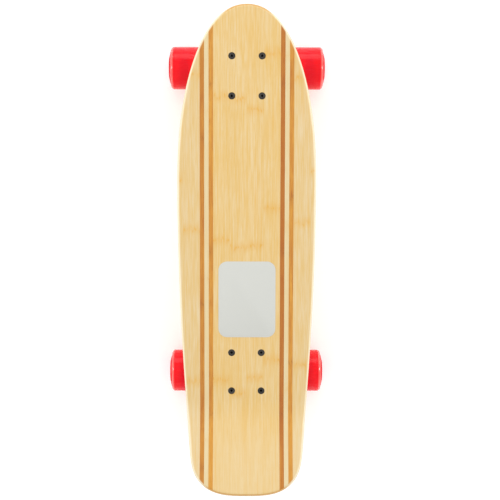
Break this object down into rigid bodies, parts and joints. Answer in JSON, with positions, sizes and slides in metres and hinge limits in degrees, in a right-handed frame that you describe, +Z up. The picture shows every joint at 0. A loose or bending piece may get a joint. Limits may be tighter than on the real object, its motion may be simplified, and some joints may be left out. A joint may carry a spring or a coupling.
{
  "type": "cruiser skateboard",
  "caption": "Small bamboo cruiser skateboard with a kicktail, sprung reverse-kingpin trucks that steer as it leans, and free-rolling urethane wheels.",
  "frame": {"origin": "on the ground under the middle of the board's length and width", "axes": "+Y along the board to its nose, +X to the right looking at the nose, +Z up"},
  "size_m": [0.2206, 0.673, 0.1448],
  "materials": {
    "bamboo": "satin varnish",
    "black_steel": "black oxide",
    "zinc_steel": "zinc plated",
    "bearing_steel": "polished",
    "cast_aluminium": "raw cast",
    "rubber": "matt",
    "red_urethane": "translucent gloss",
    "bushing_urethane": "satin"
  },
  "bodies": {
    "board": {"deck": "bamboo", "front_riser": "rubber", "front_baseplate": "cast_aluminium", "front_pivot_cup": "rubber", "front_kingpin": "zinc_steel", "front_kingpin_nut": "zinc_steel", "front_bushing_board": "bushing_urethane", "front_bushing_road": "bushing_urethane", "front_cup_washer_board": "zinc_steel", "front_cup_washer_road": "zinc_steel", "front_bolt_1": "black_steel", "front_lock_nut_1": "black_steel", "front_bolt_2": "black_steel", "front_lock_nut_2": "black_steel", "front_bolt_3": "black_steel", "front_lock_nut_3": "black_steel", "front_bolt_4": "black_steel", "front_lock_nut_4": "black_steel", "rear_riser": "rubber", "rear_baseplate": "cast_aluminium", "rear_pivot_cup": "rubber", "rear_kingpin": "zinc_steel", "rear_kingpin_nut": "zinc_steel", "rear_bushing_board": "bushing_urethane", "rear_bushing_road": "bushing_urethane", "rear_cup_washer_board": "zinc_steel", "rear_cup_washer_road": "zinc_steel", "rear_bolt_1": "black_steel", "rear_lock_nut_1": "black_steel", "rear_bolt_2": "black_steel", "rear_lock_nut_2": "black_steel", "rear_bolt_3": "black_steel", "rear_lock_nut_3": "black_steel", "rear_bolt_4": "black_steel", "rear_lock_nut_4": "black_steel"},
    "front_truck": {"front_hanger": "cast_aluminium", "front_axle": "zinc_steel", "front_right_spacer": "zinc_steel", "front_right_axle_nut": "zinc_steel", "front_left_spacer": "zinc_steel", "front_left_axle_nut": "zinc_steel"},
    "rear_truck": {"rear_hanger": "cast_aluminium", "rear_axle": "zinc_steel", "rear_right_spacer": "zinc_steel", "rear_right_axle_nut": "zinc_steel", "rear_left_spacer": "zinc_steel", "rear_left_axle_nut": "zinc_steel"},
    "front_right_wheel_body": {"front_right_wheel": "red_urethane", "front_right_bearing_inner": "bearing_steel", "front_right_bearing_outer": "bearing_steel"},
    "front_left_wheel_body": {"front_left_wheel": "red_urethane", "front_left_bearing_inner": "bearing_steel", "front_left_bearing_outer": "bearing_steel"},
    "rear_right_wheel_body": {"rear_right_wheel": "red_urethane", "rear_right_bearing_inner": "bearing_steel", "rear_right_bearing_outer": "bearing_steel"},
    "rear_left_wheel_body": {"rear_left_wheel": "red_urethane", "rear_left_bearing_inner": "bearing_steel", "rear_left_bearing_outer": "bearing_steel"}
  },
  "joints": [
    {"name": "front_steer", "type": "hinge", "parent": "board", "child": "front_truck", "pos_m": [0, 0.25864, 0.05687], "axis": [0, 0.7071, 0.7071], "range_deg": [-20, 20], "stiffness_Nm_per_rad": 60, "deforming": ["front_bushing_board", "front_bushing_road"]},
    {"name": "front_right_spin", "type": "hinge", "parent": "front_truck", "child": "front_right_wheel_body", "pos_m": [0.0878, 0.2544, 0.03], "axis": [1, 0, 0], "continuous": true},
    {"name": "front_left_spin", "type": "hinge", "parent": "front_truck", "child": "front_left_wheel_body", "pos_m": [-0.0878, 0.2544, 0.03], "axis": [1, 0, 0], "continuous": true},
    {"name": "rear_steer", "type": "hinge", "parent": "board", "child": "rear_truck", "pos_m": [0, -0.18664, 0.05687], "axis": [0, -0.7071, 0.7071], "range_deg": [-20, 20], "stiffness_Nm_per_rad": 60, "deforming": ["rear_bushing_board", "rear_bushing_road"]},
    {"name": "rear_right_spin", "type": "hinge", "parent": "rear_truck", "child": "rear_right_wheel_body", "pos_m": [0.0878, -0.1824, 0.03], "axis": [1, 0, 0], "continuous": true},
    {"name": "rear_left_spin", "type": "hinge", "parent": "rear_truck", "child": "rear_left_wheel_body", "pos_m": [-0.0878, -0.1824, 0.03], "axis": [1, 0, 0], "continuous": true}
  ]
}
